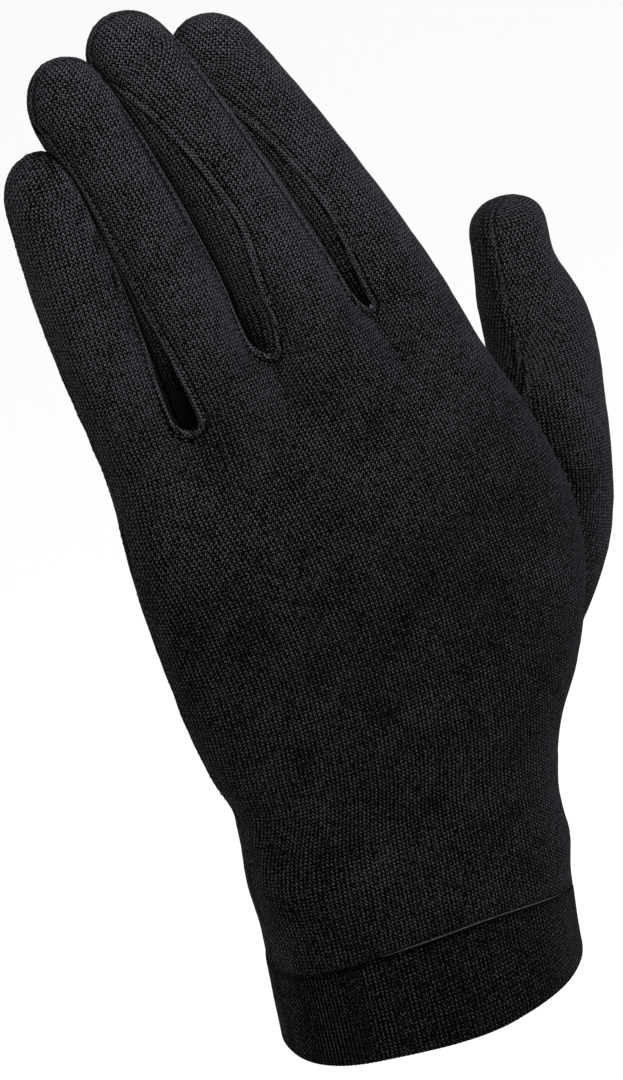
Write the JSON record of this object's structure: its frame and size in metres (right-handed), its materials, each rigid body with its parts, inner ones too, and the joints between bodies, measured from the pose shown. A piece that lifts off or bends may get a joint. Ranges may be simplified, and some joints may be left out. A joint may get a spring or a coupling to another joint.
{
  "type": "glove liner",
  "caption": "Thin black knit liner glove for a left hand, shown worn, with side strips between the closed fingers, a set-in thumb and a fine ribbed cuff",
  "frame": {"origin": "middle of the wrist opening, in the plane of the cuff's rim", "axes": "+Z from the wrist to the fingertips, -Y out of the back of the hand, +X toward the thumb side"},
  "size_m": [0.1296, 0.0516, 0.2407],
  "materials": {
    "knit_cloth": "matte black fine-gauge weft knit",
    "rib_knit": "matte black fine rib knit"
  },
  "bodies": {
    "root": {"back_panel": "knit_cloth", "palm_panel": "knit_cloth", "fourchette_little_ring": "knit_cloth", "fourchette_ring_middle": "knit_cloth", "fourchette_middle_index": "knit_cloth", "thumb_panel": "knit_cloth", "cuff_band": "rib_knit"}
  },
  "joints": []
}
